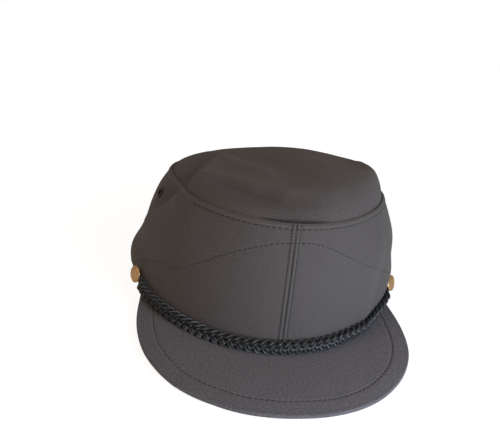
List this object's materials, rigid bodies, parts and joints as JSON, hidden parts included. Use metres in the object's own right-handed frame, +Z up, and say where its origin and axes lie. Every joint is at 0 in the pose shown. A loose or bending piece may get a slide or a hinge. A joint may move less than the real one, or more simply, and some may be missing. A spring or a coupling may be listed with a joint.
{
  "type": "uniform cap",
  "caption": "Soft peaked uniform cap: puffed oval crown, flat cloth peak, plaited chin cord and plain side buttons.",
  "frame": {"origin": "middle of the cap's outline in plan, on the surface it rests on", "axes": "+X to the wearer's left, +Y to the rear, +Z up"},
  "size_m": [0.1796, 0.2524, 0.0883],
  "materials": {
    "crown_cloth": "matte wool twill",
    "peak_cloth": "matte wool twill over a stiff board",
    "cord": "satin black plait",
    "button": "aged satin",
    "eyelet": "dark satin"
  },
  "bodies": {
    "root": {"crown_top": "crown_cloth", "side_panel_right": "crown_cloth", "side_panel_left": "crown_cloth", "peak": "peak_cloth", "chin_cord": "cord", "side_button_right": "button", "side_button_left": "button", "vent_eyelet_right": "eyelet", "vent_eyelet_left": "eyelet"}
  },
  "joints": []
}
